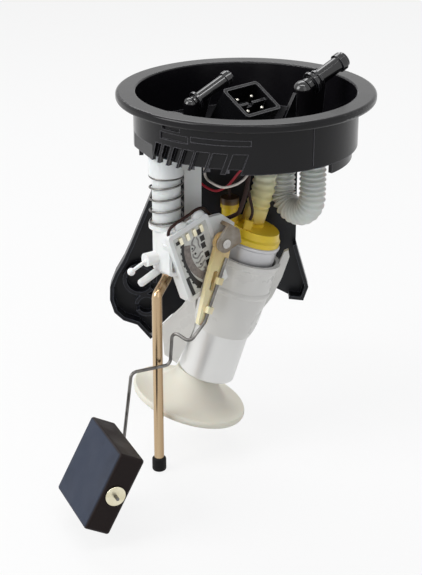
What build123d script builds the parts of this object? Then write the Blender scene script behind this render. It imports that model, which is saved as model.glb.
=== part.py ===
"""Fuel pump module: flange with fuel and electric connections, electric pump in its cup,
suction strainer, and a spring loaded sender with a float arm. Millimetres, +Z up.
The origin is the centre of the rim's underside, which rests on the tank neck."""

import os
from math import cos, radians, sin

from build123d import *

os.makedirs("parts", exist_ok=True)

# Clearances
slip = 0.05  # radial, between a pin and the hole it runs or sits in
slide_gap = 0.3  # radial, round the sliding guide tube
seat_gap = 0.1  # radial, between pieces pushed into each other

# Flange: rim, bowl, skirt and floor
rim_r = 75.0
rim_t = 5.0
rim_round = 1.8
skirt_r = rim_r - 10.0
bowl_r = skirt_r - 1.4
bowl_low_r = bowl_r - 2.8
lip_wall = 2.5
skirt_low = -26.0
floor_under = -24.0
floor_t = 3.0
floor_top = floor_under + floor_t
collar_r = skirt_r - 3.0
collar_wall = 2.5
collar_drop = 9.0

# Comb of leaning slots at the front left of the skirt
slots = [(3.6, 8.2), (13.5, 8.2), (22.0, 7.8), (29.6, 6.3), (36.1, 5.2), (42.6, 5.0), (48.9, 4.8)]
slot_h = 12.5
slot_lean = 4.5
slot_depth = 2.8

# Electric socket, tilted towards the plug
socket_at = Vector(3.6, -0.2, -1)
socket_turn = 44.7
socket_tilt = 30.8
socket_w = 28.5
socket_h = 24.0
socket_wall = 2.0
socket_depth = 14.0
socket_rib = 1.6
socket_rib_drop = 3.0
pin_r = 1.15
pin_tall = 12.0
pin_root = 4.0
pin_step_x = 11.6
pin_step_y = 10.0

# Fuel nipples on the flange
nipple_turn = 36.0
nipple_rise = 24.0
supply_at = (-32.0, -4.0)
supply_z = -3.4
supply_r = 3.5
supply_long = 31.0
supply_foot = supply_r + 0.6
return_at = (33.0, 8.0)
return_z = 2.0
return_r = 4.6
return_long = 34.0
return_foot = return_r + 1.0
nipple_wall = 1.4
gallery_h = 7.0
gallery_w = 8.6
spigot_r = 5.0
spigot_long = 13.0
spigot_bore = 3.2

# Hoses
outlet_x = 12.0
outlet_y = 3.0
outlet_hose_r = 7.2
outlet_bend = 50.0
loop_at = (39.5, -4.0)
port_at = (22.5, 15.0)
loop_hose_r = 8.0
loop_low = -59.0

# Guide tube of the sender and its travel
guide_at = (-0.7015 * skirt_r, -0.4 * skirt_r)
guide_r = 8.25
guide_bore = 5.8
guide_head_r = 8.9
guide_head_t = 3.0
travel = 15.0
cap_r = 10.0
cap_h = 14.0
pocket_wall = 1.6
spring_r = 9.6
spring_wire_r = 0.6
spring_turns = 5.0
spring_seat_z = -67.0
spring_seat_r = 10.4
body_low = -97.0

# Sender board, lever and float
front_turn = 36.0
pivot_along = 24.0
pivot_forward = 21.0
pivot_z = -78.0
pivot_pin_r = 2.0
shoulder_r = 3.6
plate_front = -4.0
plate_t = 3.0
board_w = 24.0
board_h = 40.0
board_t = 1.0
board_turn = 19.2
board_at = (-14.4, -8.0)
board_rim = 1.2
track_r = 22.4
track_w = 4.4
track_t = 0.2
track_from = 176.0
track_sweep = 66.0
lever_back = -1.0
lever_t = 3.0
lever_hub_r = 6.0
lever_end = (-15.8, -48.3)
wire_r = 1.0
wire_bend = 3.5
wire_back = -8.5
float_turn = 23.0
float_wide = 50.0
float_long = 47.5
float_thick = 16.0
float_lean = 28.0
float_round = 2.2
float_gap = 3.0
nut_r = 5.8
nut_t = 1.0

# Foot rod
rod_r = 3.0
rod_shift = (-5.9, -11.5)
rod_low = -217.0
rod_bend_z = -101.0
tip_r = 4.3
tip_low = -223.0

# Pump
pump_tilt = 17.0
can_top = Vector(3.8, 0, -86.3)
can_r = 17.5
can_wall = 0.8
can_long = 92.0
cap_flange_t = 3.0
cap_dome = 8.0
cap_plug = 9.0
nozzle_at = (-1.9, 3.0)
nozzle_r = 5.0
nozzle_top = 24.0
nozzle_collar = 10.0
valve_seat = 9.0
valve_bore = 3.2
shaft_r = 2.5
bush_r = 5.0
armature_r = 12.4
magnet_t = 3.4
impeller_t = 3.0
tower_at = (-9.0, -2.0)
tower_r = 4.8
tower_top = -66.0
tower_low = -80.0
inlet_shift = -5.0
inlet_r = 4.5

# Cup and damper
cup_r = 21.0
cup_wall = 1.9
cup_top = -10.5
cup_low = -60.0

# Strainer
strainer_r = 36.0
strainer_t = 14.0
strainer_edge = 4.0
strainer_down = -can_long - 20.0

# Rear bracket
bracket_front = 24.0
bracket_t = 2.5
foot_t = 3.0
rib_h = 8.0
rib_w = 2.2
screw_r = 1.6
screw_head_r = 3.5
screw_head_t = 2.0
screw_spots = [(-38.0, 18.5), (-28.0, 18.5), (12.0, 20.5)]

# Wires
lead_r = 0.8


def ring(plane, outer, inner=0.0):
    """Disc or ring sketched on a plane, round its origin."""
    with BuildSketch(plane) as sketch:
        Circle(outer)
        if inner:
            Circle(inner, mode=Mode.SUBTRACT)
    return sketch.sketch


def outline(plane, *points):
    """Closed straight sided sketch on a plane."""
    with BuildSketch(plane) as sketch:
        with BuildLine():
            Polyline(*points, close=True)
        make_face()
    return sketch.sketch


def plate(plane, width, height, corner, at=(0, 0), turn=0.0):
    """Rectangle with round corners on a plane."""
    with BuildSketch(plane) as sketch:
        with Locations(Location((at[0], at[1], 0), (0, 0, turn))):
            RectangleRounded(width, height, corner)
    return sketch.sketch


def edge_strip(points, width):
    """Outline of a strip of even width on the left of a run of points, with mitred corners."""
    spots = [Vector(*point) for point in points]
    sides = [(after - here).normalized().rotate(Axis.Z, 90) for here, after in zip(spots, spots[1:])]
    inner = []
    for spot, before, after in zip(spots, sides[:1] + sides, sides + sides[-1:]):
        middle = (before + after).normalized()
        inner.append(spot + middle * (width / middle.dot(after)))
    return [(spot.X, spot.Y) for spot in spots + inner[::-1]]


def bent_bar(points, bend, radius, bore=0.0):
    """Path of straight runs joined by arcs, and the round section at its start."""
    with BuildLine() as path:
        FilletPolyline(*points, radius=bend)
    start = Plane(origin=path.line @ 0, z_dir=path.line % 0)
    return path.line, ring(start, radius, bore)


def save(piece, name):
    """Label a finished piece and write its file."""
    piece.part.label = name
    export_step(piece.part, f"parts/{name}.step")


# Planes that the pieces share
board_way = Vector(cos(radians(front_turn)), sin(radians(front_turn)), 0)
out_way = Vector(sin(radians(front_turn)), -cos(radians(front_turn)), 0)
guide_axis = Vector(guide_at[0], guide_at[1], 0)
pivot = guide_axis + board_way * pivot_along + out_way * pivot_forward + Vector(0, 0, pivot_z)
pump_up = Vector(sin(radians(pump_tilt)), 0, cos(radians(pump_tilt)))
pump_right = Vector(cos(radians(pump_tilt)), 0, -sin(radians(pump_tilt)))
pump_side = Plane(origin=can_top, x_dir=pump_right, z_dir=(0, -1, 0))
pump_axis = Axis(can_top, pump_up)


def lever_plane(depth):
    """Plane of the sender's face, its origin on the pivot, its X along the board."""
    return Plane(origin=pivot + out_way * depth, x_dir=board_way, z_dir=out_way)


def lever_point(along, up, depth):
    """Point given along the board, up, and out of it, all from the pivot."""
    return pivot + board_way * along + Vector(0, 0, up) + out_way * depth


def pump_plane(height, x=0.0, y=0.0):
    """Plane across the pump at a height above the top of its can."""
    return Plane(origin=can_top + pump_up * height + pump_right * x + Vector(0, y, 0),
                 x_dir=pump_right, z_dir=pump_up)


def skirt_plane(turn):
    """Plane tangent to the skirt, turned from the front towards the left."""
    out = Vector(-sin(radians(turn)), -cos(radians(turn)), 0)
    return Plane(origin=out * skirt_r, x_dir=(-out.Y, out.X, 0), z_dir=out)


nipple_way = Vector(cos(radians(nipple_turn)) * cos(radians(nipple_rise)),
                    sin(radians(nipple_turn)) * cos(radians(nipple_rise)),
                    sin(radians(nipple_rise)))
pocket_r = guide_head_r + slide_gap
pocket_top = floor_under + guide_head_t + travel + slide_gap
gallery_low = floor_under - gallery_h
gallery_mid = floor_under - gallery_h / 2
pilot_top = floor_top + 4.0

# Flange
with BuildPart() as flange:
    revolve(outline(Plane.XZ, (0, floor_under), (skirt_r - lip_wall, floor_under),
                    (skirt_r - lip_wall, skirt_low), (skirt_r, skirt_low), (skirt_r, 0),
                    (rim_r, 0), (rim_r, rim_t), (bowl_r, rim_t), (bowl_low_r, floor_top),
                    (0, floor_top)), axis=Axis.Z)
    outer_edges = flange.edges().filter_by(GeomType.CIRCLE)
    fillet(outer_edges.filter_by(lambda edge: abs(edge.radius - rim_r) < 0.01), radius=rim_round)
    fillet(flange.edges().filter_by(GeomType.CIRCLE).group_by(Axis.Z)[-1].sort_by(
        lambda edge: edge.radius)[0], radius=1.0)
    # Collar under the floor, open at the front and round the guide
    with BuildSketch(Plane.XY.offset(floor_under)):
        Circle(collar_r)
        Circle(collar_r - collar_wall, mode=Mode.SUBTRACT)
        Polygon((0, 0), (-2 * rim_r * sin(radians(84)), -2 * rim_r * cos(radians(84))),
                (0, -4 * rim_r), (2 * rim_r * sin(radians(50)), -2 * rim_r * cos(radians(50))),
                align=None, mode=Mode.SUBTRACT)
    extrude(amount=-collar_drop)
    # Leaning slots of the comb, open at the skirt's lower edge
    for turn, slot_w in slots:
        face = skirt_plane(turn)
        low = skirt_low - 1
        extrude(outline(face, (-slot_w / 2 - slot_lean, low), (slot_w / 2 - slot_lean, low),
                        (slot_w / 2, low + slot_h), (-slot_w / 2, low + slot_h)),
                amount=slot_depth, both=True, mode=Mode.SUBTRACT)
    # Two level pockets above the comb and the notch to its left
    for turn, wide, low, high in ((40.6, 12.5, -5.4, -2.2), (39.0, 19.5, -11, -7.2), (67, 30, -27, -17)):
        extrude(outline(skirt_plane(turn), (-wide / 2, low), (wide / 2, low), (wide / 2, high),
                        (-wide / 2, high)), amount=1.6, both=True, mode=Mode.SUBTRACT)
    # Pocket that the guide tube's head rises into
    with Locations((*guide_at, floor_under)):
        Cylinder(pocket_r + pocket_wall, pocket_top + pocket_wall - floor_under,
                 align=(Align.CENTER, Align.CENTER, Align.MIN))
        Cylinder(pocket_r, pocket_top - floor_under,
                 align=(Align.CENTER, Align.CENTER, Align.MIN), mode=Mode.SUBTRACT)
    # Fuel galleries under the floor, each with its hose spigot
    for top, bottom in ((supply_at, (outlet_x, outlet_y)), (return_at, loop_at)):
        run = Vector(*bottom) - Vector(*top)
        along = Plane(origin=(*top, floor_under), x_dir=run, z_dir=(0, 0, 1))
        with BuildSketch(along):
            with Locations((run.length / 2, 0)):
                SlotCenterToCenter(run.length, gallery_w)
        extrude(amount=-gallery_h)
        with Locations((*bottom, gallery_low)):
            Cylinder(spigot_r, spigot_long, align=(Align.CENTER, Align.CENTER, Align.MAX))
        with Locations((*bottom, gallery_mid)):
            Cylinder(spigot_bore, spigot_long + gallery_h / 2,
                     align=(Align.CENTER, Align.CENTER, Align.MAX), mode=Mode.SUBTRACT)
        with Locations((*top, gallery_mid)):
            Cylinder(supply_r - nipple_wall, floor_top - gallery_mid + 1,
                     align=(Align.CENTER, Align.CENTER, Align.MIN), mode=Mode.SUBTRACT)
        bore = Plane(origin=(*top, gallery_mid), z_dir=run)
        extrude(ring(bore, supply_r - nipple_wall), amount=run.length, mode=Mode.SUBTRACT)
    # Bosses for the bracket's screws
    for spot in screw_spots:
        with Locations((*spot, floor_top)):
            Cylinder(2.4 * screw_r, pilot_top - floor_top + 1.5,
                     align=(Align.CENTER, Align.CENTER, Align.MIN))
        with Locations((*spot, floor_under)):
            Cylinder(screw_r + slip, pilot_top - floor_under,
                     align=(Align.CENTER, Align.CENTER, Align.MIN), mode=Mode.SUBTRACT)
    # Locating peg with a round head, and the raised pad on the right of the floor
    with Locations((38, -20, floor_top)):
        Cylinder(1.5, 7, align=(Align.CENTER, Align.CENTER, Align.MIN))
    with Locations((38, -20, floor_top + 8)):
        Sphere(2.2)
    with Locations((44, -6, floor_top)):
        Box(14, 9, 2.5, align=(Align.CENTER, Align.CENTER, Align.MIN))
save(flange, "flange")

# Socket for the tank's plug
socket_out = Vector(sin(radians(socket_turn)) * sin(radians(socket_tilt)),
                    -cos(radians(socket_turn)) * sin(radians(socket_tilt)),
                    cos(radians(socket_tilt)))
socket_way = Vector(cos(radians(socket_turn)), sin(radians(socket_turn)), 0)


def socket_plane(depth):
    """Plane across the socket at a depth under its mouth."""
    return Plane(origin=socket_at - socket_out * depth, x_dir=socket_way, z_dir=socket_out)


with BuildPart() as socket_shell:
    extrude(plate(socket_plane(0), socket_w, socket_h, 2.5), amount=-2 * rim_r / 3)
    split(bisect_by=Plane.XY.offset(floor_top), keep=Keep.TOP)
    extrude(plate(socket_plane(0), socket_w - 2 * socket_wall, socket_h - 2 * socket_wall, 1.5),
            amount=-socket_depth, mode=Mode.SUBTRACT)
    # Rib across the cavity with the key notch in its middle
    extrude(outline(socket_plane(socket_depth), (-socket_w / 2 + 1, -socket_rib / 2),
                    (socket_w / 2 - 1, -socket_rib / 2), (socket_w / 2 - 1, socket_rib / 2),
                    (-socket_w / 2 + 1, socket_rib / 2)), amount=socket_depth - socket_rib_drop)
    extrude(plate(socket_plane(0), 3.6, 2 * socket_rib, 0.6), amount=-6, mode=Mode.SUBTRACT)
    with Locations(socket_plane(socket_depth)):
        with GridLocations(pin_step_x, pin_step_y, 2, 2):
            Cylinder(pin_r + slip, pin_root, align=(Align.CENTER, Align.CENTER, Align.MAX),
                     mode=Mode.SUBTRACT)
save(socket_shell, "socket_shell")

with BuildPart() as connector_pins:
    with Locations(socket_plane(socket_depth)):
        with GridLocations(pin_step_x, pin_step_y, 2, 2):
            Cylinder(pin_r, pin_tall + pin_root - pin_r,
                     align=(Align.CENTER, Align.CENTER, Align.MIN))
    connector_pins.part = connector_pins.part.moved(Location(-socket_out * pin_root))
    fillet(connector_pins.edges().filter_by(GeomType.CIRCLE).filter_by(
        lambda edge: (edge.arc_center - socket_at).dot(socket_out) > -socket_depth), radius=0.8)
save(connector_pins, "connector_pins")

# Fuel nipples: an upright foot on the floor with a rising hose nipple
with BuildPart() as supply_elbow:
    supply_mouth = Plane(origin=(*supply_at, supply_z), z_dir=nipple_way)
    with Locations((*supply_at, floor_top)):
        Cylinder(supply_foot, supply_z - floor_top,
                 align=(Align.CENTER, Align.CENTER, Align.MIN))
    with Locations((*supply_at, supply_z)):
        Sphere(supply_foot)
    extrude(ring(supply_mouth, supply_r), amount=supply_long)
    extrude(ring(supply_mouth.offset(supply_foot), supply_r + 1.8), amount=1.4)
    extrude(ring(supply_mouth.offset(supply_long - 4.5), supply_r + 0.9), amount=3.0)
    # Web under the nipple
    web = Plane(origin=(*supply_at, 0), x_dir=(nipple_way.X, nipple_way.Y, 0),
                z_dir=(nipple_way.Y, -nipple_way.X, 0))
    extrude(outline(web, (0, floor_top), (7, floor_top), (15, supply_z + 5), (0, supply_z)),
            amount=1.0, both=True)
    extrude(ring(supply_mouth, supply_r - nipple_wall), amount=supply_long, mode=Mode.SUBTRACT)
    with Locations((*supply_at, floor_top)):
        Cylinder(supply_r - nipple_wall, supply_z - floor_top,
                 align=(Align.CENTER, Align.CENTER, Align.MIN), mode=Mode.SUBTRACT)
save(supply_elbow, "supply_elbow")

with BuildPart() as return_elbow:
    return_mouth = Plane(origin=(*return_at, return_z), z_dir=nipple_way)
    with Locations((*return_at, floor_top)):
        Cylinder(return_foot, return_z - floor_top,
                 align=(Align.CENTER, Align.CENTER, Align.MIN))
    with Locations((*return_at, return_z)):
        Sphere(return_foot)
    extrude(ring(return_mouth, return_r), amount=return_long)
    extrude(ring(return_mouth.offset(return_foot + 1.4), return_r + 2.2), amount=1.6)
    extrude(ring(return_mouth.offset(return_r + 6.5), return_r + 1.0), amount=1.4)
    extrude(ring(return_mouth.offset(return_long - 5.5), return_r + 1.0), amount=3.5)
    # Webs: one under the nipple, one back towards the socket
    web = Plane(origin=(*return_at, 0), x_dir=(nipple_way.X, nipple_way.Y, 0),
                z_dir=(nipple_way.Y, -nipple_way.X, 0))
    extrude(outline(web, (-19, floor_top), (14, floor_top), (17, return_z + 5), (0, return_z),
                    (-6, return_z - 1)), amount=1.2, both=True)
    extrude(ring(return_mouth, supply_r - nipple_wall), amount=return_long, mode=Mode.SUBTRACT)
    extrude(ring(return_mouth.offset(return_long - 20), return_r - nipple_wall), amount=20,
            mode=Mode.SUBTRACT)
    with Locations((*return_at, floor_top)):
        Cylinder(supply_r - nipple_wall, return_z - floor_top,
                 align=(Align.CENTER, Align.CENTER, Align.MIN), mode=Mode.SUBTRACT)
save(return_elbow, "return_elbow")

# Guide cap: the bush that the sender's tube slides in, with the flat rail beside it
cap_low = floor_under - cap_h
with BuildPart() as guide_cap:
    with Locations((*guide_at, cap_low)):
        Cylinder(cap_r, cap_h, align=(Align.CENTER, Align.CENTER, Align.MIN))
    rail_back = guide_at[1] + cap_r + 1
    with Locations((guide_at[0] + 1, rail_back, floor_under)):
        Box(19, 2.6, cap_h, align=(Align.MIN, Align.MAX, Align.MAX))
    with Locations((guide_at[0] + 10, rail_back, floor_under)):
        Box(10, 2.6, 60, align=(Align.MIN, Align.MAX, Align.MAX))
    fillet(guide_cap.edges().filter_by(Axis.Y).group_by(Axis.Z)[0], radius=2.0)
    with Locations((*guide_at, cap_low)):
        Cylinder(guide_r + slide_gap, cap_h,
                 align=(Align.CENTER, Align.CENTER, Align.MIN), mode=Mode.SUBTRACT)
    fillet(guide_cap.edges().filter_by(GeomType.CIRCLE).group_by(Axis.Z)[0].sort_by(
        lambda edge: edge.radius)[-1], radius=1.2)
save(guide_cap, "guide_cap")

# Spring between the guide cap and the sender's shoulder
spring_long = cap_low - spring_seat_z
with BuildPart() as sender_spring:
    with BuildLine() as coil:
        Helix(pitch=(spring_long - 2 * spring_wire_r) / spring_turns,
              height=spring_long - 2 * spring_wire_r, radius=spring_r,
              center=(*guide_at, spring_seat_z + spring_wire_r))
    sweep(ring(Plane(origin=coil.line @ 0, z_dir=coil.line % 0), spring_wire_r), path=coil.line,
          is_frenet=True)
save(sender_spring, "sender_spring")

# Sender housing: guide tube, body, face plate and wire hooks in one moulding
plate_back = plate_front - plate_t
body_along = -pivot_along
body_depth = -pivot_forward
with BuildPart() as sender_housing:
    with Locations((*guide_at, body_low)):
        Cylinder(guide_r, floor_under - body_low + guide_head_t,
                 align=(Align.CENTER, Align.CENTER, Align.MIN))
    chamfer(sender_housing.faces().sort_by(Axis.Z)[0].edges(), length=2.5)
    with Locations((*guide_at, floor_under)):
        Cylinder(guide_head_r, guide_head_t, align=(Align.CENTER, Align.CENTER, Align.MIN))
    with Locations((*guide_at, spring_seat_z)):
        Cylinder(spring_seat_r, 2.6, align=(Align.CENTER, Align.CENTER, Align.MAX))
    # Face plate with the lobe that carries the pivot
    with BuildSketch(lever_plane(plate_back)):
        with Locations(Location((*board_at, 0), (0, 0, board_turn))):
            RectangleRounded(board_w + 5, board_h + 6, 2.0)
        Polygon((-9, 15), (3, 15), (12, 8), (11, -3), (5, -8), (-1, -20), (-10, -10), align=None)
    extrude(amount=plate_t)
    # Raised edge round the board
    with BuildSketch(lever_plane(plate_front)):
        with Locations(Location((*board_at, 0), (0, 0, board_turn))):
            RectangleRounded(board_w + 5, board_h + 6, 2.0)
            RectangleRounded(board_w + 2 * seat_gap, board_h + 2 * seat_gap, 0.6,
                             mode=Mode.SUBTRACT)
        Circle(shoulder_r + 0.6, mode=Mode.SUBTRACT)
    extrude(amount=board_rim)
    # Body between the tube and the plate, open at its back
    extrude(plate(lever_plane(body_depth), 13, 26, 2.0, (body_along - 1.5, -4)),
            amount=pivot_forward + plate_back)
    extrude(plate(lever_plane(body_depth + guide_r), 9, 22, 1.2, (body_along - 1.5, -4)),
            amount=pivot_forward + plate_back - guide_r, mode=Mode.SUBTRACT)
    # Strip that stiffens the board's left edge
    with BuildSketch(lever_plane(plate_back - 6)):
        with Locations(Location((*board_at, 0), (0, 0, board_turn))):
            with Locations((-board_w / 2 - 1.2, -4)):
                Rectangle(2.6, board_h - 2)
    extrude(amount=6)
    # Knob, ball ended hook and round peg for the wires, pointing left
    knob = Plane(origin=lever_point(body_along - guide_r + 1, -9, body_depth), z_dir=-board_way)
    extrude(ring(knob, 4.0), amount=8)
    hook_end = lever_point(body_along - 25, -14, body_depth)
    hook, section = bent_bar([knob.origin - board_way * 5, lever_point(body_along - 18, -11,
                              body_depth), hook_end], 3.0, 1.1)
    sweep(section, path=hook)
    with Locations(hook_end):
        Sphere(2.3)
    peg = Plane(origin=lever_point(body_along - 3, -16, body_depth),
                z_dir=-board_way * 0.92 - Vector(0, 0, 0.39))
    extrude(ring(peg, 1.7), amount=18)
    # Bores: hollow tube, rod socket, pivot pin
    with Locations((*guide_at, floor_under + guide_head_t)):
        Cylinder(guide_bore, floor_under + guide_head_t - spring_seat_z,
                 align=(Align.CENTER, Align.CENTER, Align.MAX), mode=Mode.SUBTRACT)
    with Locations((*guide_at, body_low)):
        Cylinder(rod_r + slip, 15, align=(Align.CENTER, Align.CENTER, Align.MIN),
                 mode=Mode.SUBTRACT)
    extrude(ring(lever_plane(plate_back), pivot_pin_r + slip), amount=plate_t,
            mode=Mode.SUBTRACT)
save(sender_housing, "sender_housing")

with BuildPart() as resistor_board:
    extrude(plate(lever_plane(plate_front), board_w, board_h, 0.5, board_at, board_turn),
            amount=board_t)
save(resistor_board, "resistor_board")

with BuildPart() as resistor_track:
    with BuildSketch(lever_plane(plate_front + board_t)):
        with BuildLine():
            arc = CenterArc((0, 0), track_r - track_w / 2, track_from, track_sweep)
            outer = CenterArc((0, 0), track_r + track_w / 2, track_from, track_sweep)
            Line(arc @ 0, outer @ 0)
            Line(arc @ 1, outer @ 1)
        make_face()
    extrude(amount=track_t)
save(resistor_track, "resistor_track")

with BuildPart() as sender_terminals:
    with BuildSketch(lever_plane(plate_front + board_t)):
        with Locations(Location((*board_at, 0), (0, 0, board_turn))):
            with Locations((0, board_h / 2 - 3.2)):
                with GridLocations(5.0, 1, 4, 1):
                    RectangleRounded(2.2, 4.4, 0.4)
    extrude(amount=1.1)
save(sender_terminals, "sender_terminals")

# Pivot of the float arm: pin and the bridge that holds its outer end
bridge_back = lever_back + lever_t + slide_gap
bridge_t = 2.0
with BuildPart() as pivot_bracket:
    with BuildSketch(lever_plane(bridge_back)):
        Circle(lever_hub_r - 0.5)
        Polygon((-3, 5.2), (3, 11.5), (9.5, 7), (11, -1.5), (4, -4), align=None)
    extrude(amount=bridge_t)
    with BuildSketch(lever_plane(plate_front)):
        Polygon((1.5, 9.8), (3, 11.5), (9.5, 7), (11, -1.5), (8.4, -1.5), (7.3, 5.2), align=None)
    extrude(amount=bridge_back - plate_front)
    extrude(ring(lever_plane(bridge_back), pivot_pin_r + slip), amount=bridge_t,
            mode=Mode.SUBTRACT)
save(pivot_bracket, "pivot_bracket")

with BuildPart() as pivot_pin:
    extrude(ring(lever_plane(plate_back), pivot_pin_r),
            amount=bridge_back + bridge_t - plate_back)
    extrude(ring(lever_plane(bridge_back + bridge_t), pivot_pin_r + 0.7), amount=0.8)
    extrude(ring(lever_plane(plate_front), shoulder_r),
            amount=lever_back - plate_front - slide_gap)
save(pivot_pin, "pivot_pin")

# Foot rod that stands the sender on the tank floor
rod_foot = guide_axis + Vector(rod_shift[0], rod_shift[1], 0)
with BuildPart() as foot_rod:
    jog, section = bent_bar([guide_axis + Vector(0, 0, body_low + 14),
                             guide_axis + Vector(0, 0, rod_bend_z),
                             rod_foot + Vector(0, 0, rod_bend_z - 7),
                             rod_foot + Vector(0, 0, rod_low)], 4.0, rod_r, rod_r - 0.9)
    sweep(section, path=jog)
save(foot_rod, "foot_rod")

with BuildPart() as foot_tip:
    with Locations(rod_foot + Vector(0, 0, tip_low)):
        Cylinder(tip_r, rod_low - tip_low + 3, align=(Align.CENTER, Align.CENTER, Align.MIN))
    fillet(foot_tip.edges(), radius=1.6)
    with Locations(rod_foot + Vector(0, 0, rod_low)):
        Cylinder(rod_r + slip, 3, align=(Align.CENTER, Align.CENTER, Align.MIN),
                 mode=Mode.SUBTRACT)
save(foot_tip, "foot_tip")

# Lever on the pivot, with clips for the float's wire
wire_depth = lever_back + lever_t + wire_r
float_way = Vector(sin(radians(float_turn)), -cos(radians(float_turn)), 0)
wire_rear = lever_point(-92, -112, wire_back)
wire_points = [lever_point(1.2, -9.5, wire_depth), lever_point(-14.4, -46, wire_depth),
               lever_point(-25, -56, wire_depth), lever_point(-29.5, -51.6, wire_back),
               lever_point(-31.2, -73, wire_back), lever_point(-58.5, -70.6, wire_back),
               lever_point(-65, -114, wire_back), wire_rear,
               wire_rear + float_way * (float_gap + 2.0 + float_wide + nut_t + 1.5)]
lever_run = (wire_points[1] - wire_points[0]).normalized()
with BuildPart() as wiper_lever:
    with BuildSketch(lever_plane(lever_back)):
        Circle(lever_hub_r)
        Polygon((-5.6, -2), (5.4, -2.6), (3.6, -10), (-1.0, -20), (lever_end[0] + 3.2, lever_end[1]),
                (lever_end[0] - 2.6, lever_end[1] + 0.8), (-11.5, -20), align=None)
    extrude(amount=lever_t)
    end_edges = wiper_lever.edges().filter_by(
        lambda edge: abs(edge.tangent_at(0).dot(out_way)) > 0.99).sort_by(Axis.Z)[:2]
    fillet(end_edges, radius=0.9)
    # Window that lightens the arm, and two clips round the wire
    extrude(plate(lever_plane(lever_back), 3.0, 12, 1.2, (-7.4, -22), -19),
            amount=lever_t, mode=Mode.SUBTRACT)
    for reach in (12.0, 30.0):
        clip = Plane(origin=wire_points[0] + lever_run * reach, z_dir=lever_run, x_dir=out_way)
        extrude(plate(clip, 2 * wire_r + 2, 4.4, 0.8), amount=4.0)
    extrude(ring(Plane(origin=wire_points[0], z_dir=lever_run), wire_r + slip), amount=40,
            mode=Mode.SUBTRACT)
    extrude(ring(lever_plane(lever_back), pivot_pin_r + slip), amount=lever_t,
            mode=Mode.SUBTRACT)
save(wiper_lever, "wiper_lever")

# Spring fingers under the lever that wipe the track
with BuildPart() as wiper_contacts:
    share = track_r / Vector(*lever_end).length
    wipe = Plane(origin=lever_point(lever_end[0] * share, lever_end[1] * share, lever_back),
                 x_dir=board_way, z_dir=out_way)
    finger = plate_front + board_t + track_t + slide_gap
    for offset in (-1.4, 1.4):
        extrude(plate(wipe, 2.0, 7.0, 0.5, (offset, 0), -18), amount=-0.5)
        extrude(ring(Plane(origin=wipe.origin + board_way * offset, x_dir=board_way,
                           z_dir=out_way), 0.8), amount=finger - lever_back)
save(wiper_contacts, "wiper_contacts")

with BuildPart() as float_wire:
    bends, section = bent_bar(wire_points, wire_bend, wire_r)
    sweep(section, path=bends)
save(float_wire, "float_wire")

# Float that swivels on the end of its wire, and the push nut that keeps it there
float_back = Plane(origin=wire_rear + float_way * float_gap,
                   x_dir=(cos(radians(float_turn)), sin(radians(float_turn)), 0),
                   z_dir=float_way)
with BuildPart() as float_body:
    extrude(plate(float_back, float_thick, float_long, 1.5, turn=-float_lean),
            amount=float_wide)
    fillet(float_body.faces().filter_by(
        lambda face: abs(face.normal_at().dot(float_way)) > 0.99).edges(), radius=float_round)
    extrude(ring(float_back, wire_r + slip), amount=float_wide, mode=Mode.SUBTRACT)
save(float_body, "float")

with BuildPart() as float_nut:
    extrude(ring(float_back.offset(float_wide + slide_gap), nut_r, wire_r + slip), amount=nut_t)
    fillet(float_nut.edges().filter_by(GeomType.CIRCLE).filter_by(
        lambda edge: edge.radius > nut_r - 0.01), radius=0.3)
save(float_nut, "float_nut")

# Pump can with its rolled lower edge
can_bore = can_r - can_wall
with BuildPart() as pump_can:
    revolve(outline(pump_side, (can_bore, 0), (can_r, 0), (can_r, -can_long + 1),
                    (can_r - 1, -can_long), (can_bore - 1.5, -can_long),
                    (can_bore - 1.5, -can_long + can_wall), (can_bore, -can_long + can_wall + 1)),
            axis=pump_axis)
save(pump_can, "pump_can")

# Outlet cap: end cap with the hose nozzle and the terminal tower
plug_r = can_bore - seat_gap
nozzle = pump_plane(0, *nozzle_at)
brush_way = 9.5
with BuildPart() as pump_outlet_cap:
    revolve(outline(pump_side, (0, -cap_plug), (plug_r, -cap_plug), (plug_r, 0), (can_r - 0.2, 0),
                    (can_r - 0.2, cap_flange_t), (can_r - 1.2, cap_flange_t + 1),
                    (can_r - 2.4, cap_dome), (0, cap_dome)), axis=pump_axis)
    extrude(ring(nozzle, nozzle_r + 2.4), amount=nozzle_collar)
    extrude(ring(nozzle, nozzle_r), amount=nozzle_top)
    tower = Plane(origin=(*tower_at, tower_low))
    extrude(ring(tower, tower_r), amount=tower_top - tower_low)
    extrude(ring(tower, tower_r + 0.9), amount=(tower_top - tower_low) * 0.4)
    # Valve bore, shaft bush seat and brush guides
    extrude(ring(nozzle.offset(valve_seat), valve_bore), amount=nozzle_top - valve_seat,
            mode=Mode.SUBTRACT)
    extrude(ring(nozzle.offset(1.0), 1.6), amount=valve_seat, mode=Mode.SUBTRACT)
    extrude(ring(pump_plane(-cap_plug), bush_r + slip), amount=cap_plug - 3.0,
            mode=Mode.SUBTRACT)
    for side in (-1, 1):
        extrude(plate(pump_plane(-cap_plug, 0, side * brush_way), 6.2, 5.2, 0.3),
                amount=cap_plug - 1.5, mode=Mode.SUBTRACT)
save(pump_outlet_cap, "pump_outlet_cap")

# Check valve in the nozzle: plunger, spring and the ring that keeps them
ring_t = 2.0
plunger_long = 4.0
with BuildPart() as outlet_valve:
    valve_low = nozzle.offset(valve_seat)
    extrude(ring(valve_low, valve_bore - slide_gap), amount=plunger_long)
    fillet(outlet_valve.edges().sort_by(Axis(can_top, pump_up))[-1], radius=0.6)
save(outlet_valve, "outlet_valve")

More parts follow.
